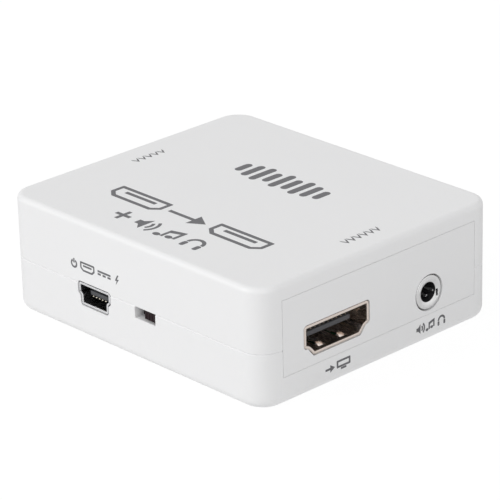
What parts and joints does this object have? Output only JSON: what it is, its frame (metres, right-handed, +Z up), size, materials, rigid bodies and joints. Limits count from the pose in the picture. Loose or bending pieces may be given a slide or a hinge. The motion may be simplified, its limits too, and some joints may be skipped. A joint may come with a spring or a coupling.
{
  "type": "hdmi audio extractor",
  "caption": "Small flat box that passes a digital video line through and takes its sound out at a 3.5 mm jack, with a side power port and a slide switch.",
  "frame": {"origin": "middle of the case's underside, on the surface it stands on", "axes": "+Z up; +X along the case's length towards the end with the outgoing video port and the sound jack; -Y towards the side with the power port and the switch"},
  "size_m": [0.063, 0.055, 0.0215],
  "materials": {
    "cover_plastic": "white, fine satin moulded surface",
    "case_plastic": "white, fine satin moulded surface",
    "panel_plastic": "white, fine satin moulded surface",
    "board_laminate": "green solder mask over glass laminate",
    "port_metal": "warm plated sheet steel",
    "port_plastic": "black moulded plastic",
    "contact_metal": "gold-plated bronze strip",
    "barrel_metal": "bright nickel plate",
    "power_metal": "bright nickel-plated sheet",
    "sheet_metal": "tinned sheet steel",
    "base_plastic": "brown pressed laminate",
    "knob_plastic": "black moulded plastic",
    "chip_plastic": "black moulded epoxy",
    "pin_metal": "tinned",
    "can_metal": "drawn can, plain",
    "ferrite": "dark grey pressed ferrite",
    "winding_copper": "enamelled copper wire",
    "capacitor_ceramic": "tan fired ceramic",
    "resistor_black": "black glaze on ceramic",
    "fuse_green": "green polymer chip",
    "light_ceramic": "white reflector",
    "lens_resin": "tinted clear resin"
  },
  "bodies": {
    "housing": {"top_cover": "cover_plastic", "bottom_case": "case_plastic", "output_panel": "panel_plastic", "input_panel": "panel_plastic", "circuit_board": "board_laminate", "video_out_shell": "port_metal", "video_out_insulator": "port_plastic", "video_out_contacts": "contact_metal", "video_in_shell": "port_metal", "video_in_insulator": "port_plastic", "video_in_contacts": "contact_metal", "jack_barrel": "barrel_metal", "jack_body": "port_plastic", "jack_tip_spring": "contact_metal", "jack_ring_spring": "contact_metal", "jack_sleeve_spring": "contact_metal", "power_port_shell": "power_metal", "power_port_insulator": "port_plastic", "power_port_contacts": "contact_metal", "switch_frame": "sheet_metal", "switch_base": "base_plastic", "switch_terminals": "contact_metal", "video_chip": "chip_plastic", "video_chip_pins": "pin_metal", "sound_chip": "chip_plastic", "sound_chip_pins": "pin_metal", "memory_chip": "chip_plastic", "memory_pins": "pin_metal", "regulators": "chip_plastic", "regulator_pins": "pin_metal", "crystal_can": "can_metal", "crystal_base": "port_plastic", "electrolytic_cans": "can_metal", "electrolytic_bases": "port_plastic", "coil_core": "ferrite", "coil_winding": "winding_copper", "ceramic_capacitors": "capacitor_ceramic", "capacitor_ends": "pin_metal", "resistors": "resistor_black", "resistor_ends": "pin_metal", "surge_arrays": "chip_plastic", "fuse": "fuse_green", "power_light": "light_ceramic", "light_lens": "lens_resin"},
    "switch_slider": {"switch_knob": "knob_plastic", "switch_wiper": "contact_metal"}
  },
  "joints": [
    {"name": "switch_slide", "type": "slide", "parent": "housing", "child": "switch_slider", "axis": [1, 0, 0], "range_m": [-0.002, 0]}
  ]
}
